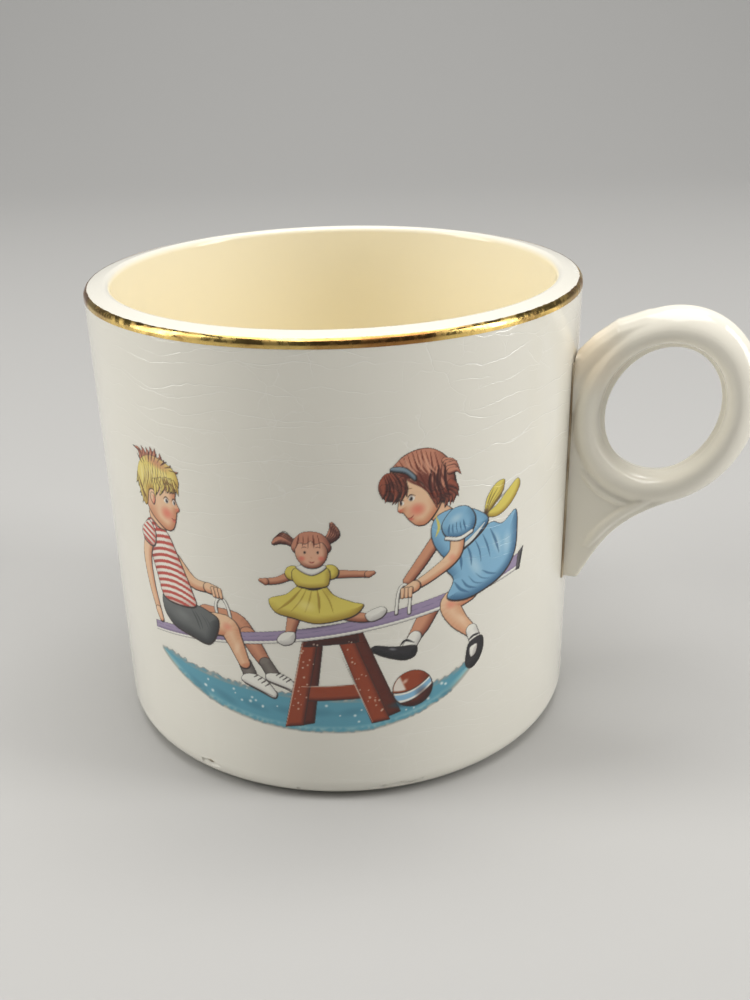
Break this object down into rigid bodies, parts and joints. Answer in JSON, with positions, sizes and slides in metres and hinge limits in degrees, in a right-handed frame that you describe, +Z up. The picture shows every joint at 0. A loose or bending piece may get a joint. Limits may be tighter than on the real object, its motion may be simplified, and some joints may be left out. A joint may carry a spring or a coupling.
{
  "type": "ceramic mug",
  "caption": "Small straight-sided glazed ceramic mug with a finger-ring handle on a tapering web, a gold rim line and a wrap-around picture print.",
  "frame": {"origin": "on the surface that the mug stands on, below the middle of the whole mug's bounding box", "axes": "+Z up along the cup's axis; +X from the cup towards the handle; the middle of the print faces mostly -Y, 72 degrees round from the handle"},
  "size_m": [0.1086, 0.0803, 0.0752],
  "materials": {
    "clay": "bare fired earthenware, matt and slightly toasted",
    "ivory_glaze": "clear glaze over ivory clay, high gloss, finely crazed",
    "handle_glaze": "the same ivory glaze over the cast handle",
    "slip": "fired joining slip, stained along the seam",
    "gold": "fired bright gold line, worn in places",
    "print_ink": "several enamel ink colours fired into the glaze, gloss"
  },
  "bodies": {
    "root": {"cup_body": "clay", "glaze_coat": "ivory_glaze", "handle": "handle_glaze", "handle_slip": "slip", "gold_rim_line": "gold", "transfer_print": "print_ink"}
  },
  "joints": []
}
